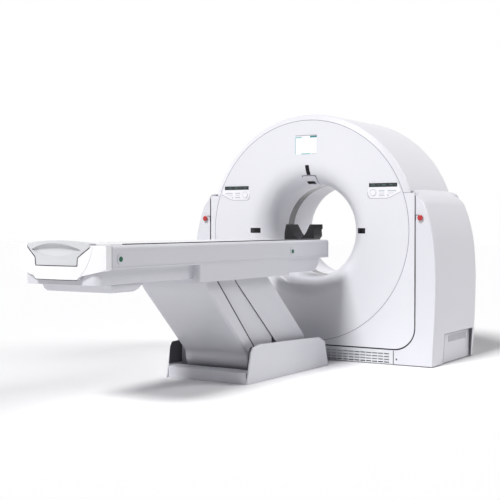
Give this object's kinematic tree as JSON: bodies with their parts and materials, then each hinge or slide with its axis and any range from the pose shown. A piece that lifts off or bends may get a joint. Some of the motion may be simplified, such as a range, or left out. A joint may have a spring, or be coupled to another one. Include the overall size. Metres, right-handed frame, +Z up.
{
  "type": "ct scanner",
  "caption": "Whole-body CT scanner: round-topped gantry with a wide bore, and a patient table with sliding cradle, head holder and slanted arm lift.",
  "frame": {"origin": "on the floor, straight under the isocentre in the scan plane", "axes": "+Z up, +Y along the table into the gantry, +X to the right of someone at the table's foot"},
  "size_m": [2.1, 3.611, 1.861],
  "materials": {
    "shell_white": "satin moulded cover",
    "side_white": "satin moulded side cover",
    "table_white": "satin paint",
    "grey_plastic": "fine texture",
    "light_grey": "smooth",
    "frame_paint": "semi-gloss paint",
    "dark_window": "smoked, polished",
    "display": "lit screen",
    "red": "polished",
    "green": "polished",
    "key_grey": "satin",
    "steel": "machined",
    "rotor_metal": "machined",
    "tube_metal": "satin paint",
    "brass_ring": "polished track",
    "belt": "matt",
    "motor_metal": "painted",
    "carbon": "woven laminate",
    "cradle_white": "satin laminate",
    "grip_grey": "fine texture"
  },
  "bodies": {
    "stand": {"front_cover": "shell_white", "front_funnel": "shell_white", "front_lower_cover": "shell_white", "dome_cover": "shell_white", "rear_cover": "shell_white", "rear_funnel": "shell_white", "rear_lower_cover": "shell_white", "scan_window": "dark_window", "left_side_cover": "side_white", "right_side_cover": "side_white", "vent_hatches": "side_white", "base_grilles": "grey_plastic", "gantry_base": "frame_paint", "stator_frame": "frame_paint", "bearing_outer_ring": "steel", "drive_motor": "motor_metal", "drive_belt": "belt", "brush_block": "grey_plastic", "display_screen": "display", "left_control_panel": "light_grey", "right_control_panel": "light_grey", "panel_readouts": "dark_window", "laser_windows": "dark_window", "bore_camera": "dark_window", "estop_collars": "light_grey", "table_base": "frame_paint", "base_cheeks": "side_white", "base_front_cover": "light_grey", "cable_bridge": "light_grey"},
    "left_estop": {"left_estop": "red"},
    "right_estop": {"right_estop": "red"},
    "left_scan_key": {"left_scan_key": "key_grey"},
    "right_scan_key": {"right_scan_key": "key_grey"},
    "rotor": {"rotor_drum": "rotor_metal", "slip_ring": "brass_ring", "xray_tube": "tube_metal", "collimator": "steel", "detector_arc": "rotor_metal", "hv_generator": "tube_metal"},
    "pulley": {"motor_pulley": "steel"},
    "foot_arms": {"foot_link": "frame_paint", "foot_link_cover": "side_white"},
    "head_arms": {"head_link": "frame_paint", "head_link_cover": "side_white"},
    "centre_shroud": {"centre_covers": "light_grey"},
    "cylinder": {"lift_cylinder": "motor_metal"},
    "ram": {"lift_rod": "steel"},
    "table": {"table_frame": "frame_paint", "table_shell": "table_white", "foot_end_cover": "table_white", "foot_end_cap": "light_grey", "table_body_cover": "table_white", "foot_pan": "table_white"},
    "right_foot_button": {"right_foot_button": "green"},
    "right_head_button": {"right_head_button": "green"},
    "left_foot_button": {"left_foot_button": "green"},
    "left_head_button": {"left_head_button": "green"},
    "couch": {"cradle": "cradle_white", "foot_grip": "grip_grey", "head_holder": "carbon"}
  },
  "joints": [
    {"name": "rotor_spin", "type": "hinge", "parent": "stand", "child": "rotor", "pos_m": [0, 0.225, 0.976], "axis": [0, 1, 0], "continuous": true},
    {"name": "pulley_spin", "type": "hinge", "parent": "stand", "child": "pulley", "pos_m": [0.7, 0.2, 0.27], "axis": [0, 1, 0], "continuous": true},
    {"name": "table_lift", "type": "hinge", "parent": "stand", "child": "foot_arms", "pos_m": [0, -1.46, 0.16], "axis": [-1, 0, 0], "range_deg": [-32, 5]},
    {"name": "head_arm_pivot", "type": "hinge", "parent": "stand", "child": "head_arms", "pos_m": [0, -0.97, 0.16], "axis": [-1, 0, 0], "range_deg": [-32, 5]},
    {"name": "centre_stay_pivot", "type": "hinge", "parent": "stand", "child": "centre_shroud", "pos_m": [0, -1.362, 0.16], "axis": [-1, 0, 0], "range_deg": [-32, 5]},
    {"name": "table_level_pivot", "type": "hinge", "parent": "foot_arms", "child": "table", "pos_m": [0, -2.01504, 0.696], "axis": [-1, 0, 0], "range_deg": [-5, 32]},
    {"name": "lift_cylinder_pivot", "type": "hinge", "parent": "stand", "child": "cylinder", "pos_m": [0, -1.1, 0.06], "axis": [-1, 0, 0], "range_deg": [-33.03, 5.17]},
    {"name": "lift_rod_slide", "type": "slide", "parent": "cylinder", "child": "ram", "axis": [0, -0.504, 0.8637], "range_m": [-0.08969, 0.01406]},
    {"name": "cradle_slide", "type": "slide", "parent": "table", "child": "couch", "axis": [0, 1, 0], "range_m": [0, 1.5]},
    {"name": "right_estop_press", "type": "slide", "parent": "stand", "child": "right_estop", "axis": [0, 1, 0], "range_m": [0, 0.005], "stiffness_N_per_m": 1500, "springref_m": -0.004},
    {"name": "right_scan_key_press", "type": "slide", "parent": "stand", "child": "right_scan_key", "axis": [0, 1, 0], "range_m": [0, 0.0015], "stiffness_N_per_m": 800, "springref_m": -0.004},
    {"name": "right_foot_button_press", "type": "slide", "parent": "table", "child": "right_foot_button", "axis": [-1, 0, 0], "range_m": [0, 0.003], "stiffness_N_per_m": 800, "springref_m": -0.004},
    {"name": "right_head_button_press", "type": "slide", "parent": "table", "child": "right_head_button", "axis": [-1, 0, 0], "range_m": [0, 0.003], "stiffness_N_per_m": 800, "springref_m": -0.004},
    {"name": "left_estop_press", "type": "slide", "parent": "stand", "child": "left_estop", "axis": [0, 1, 0], "range_m": [0, 0.005], "stiffness_N_per_m": 1500, "springref_m": -0.004},
    {"name": "left_scan_key_press", "type": "slide", "parent": "stand", "child": "left_scan_key", "axis": [0, 1, 0], "range_m": [0, 0.0015], "stiffness_N_per_m": 800, "springref_m": -0.004},
    {"name": "left_foot_button_press", "type": "slide", "parent": "table", "child": "left_foot_button", "axis": [1, 0, 0], "range_m": [0, 0.003], "stiffness_N_per_m": 800, "springref_m": -0.004},
    {"name": "left_head_button_press", "type": "slide", "parent": "table", "child": "left_head_button", "axis": [1, 0, 0], "range_m": [0, 0.003], "stiffness_N_per_m": 800, "springref_m": -0.004}
  ],
  "couplings": [
    {"joint": "pulley_spin", "follows": "rotor_spin", "ratio": 13.276},
    {"joint": "head_arm_pivot", "follows": "table_lift", "ratio": 1},
    {"joint": "centre_stay_pivot", "follows": "table_lift", "ratio": 1},
    {"joint": "table_level_pivot", "follows": "table_lift", "ratio": -1},
    {"joint": "lift_cylinder_pivot", "follows": "table_lift", "ratio": 1.0319},
    {"joint": "lift_rod_slide", "follows": "table_lift", "m_per_rad": 0.1605}
  ]
}
